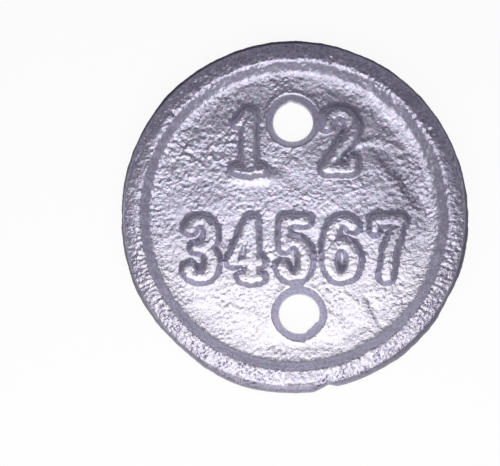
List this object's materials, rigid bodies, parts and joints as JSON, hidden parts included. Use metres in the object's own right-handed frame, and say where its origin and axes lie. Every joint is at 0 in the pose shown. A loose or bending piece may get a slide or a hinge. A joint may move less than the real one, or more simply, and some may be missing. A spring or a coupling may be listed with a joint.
{
  "type": "cable route marker",
  "caption": "Round cast metal route marker disc with a raised rim, a sunk field and two countersunk fixing holes.",
  "frame": {"origin": "centre of the disc on its flat back face", "axes": "+Z out of the face that is read, +Y from the lower fixing hole to the upper one, +X to the reader's right; the disc lies on its back"},
  "size_m": [0.07, 0.0704, 0.0055],
  "materials": {
    "cast_metal": "satin"
  },
  "bodies": {
    "root": {"marker_disc": "cast_metal"}
  },
  "joints": []
}
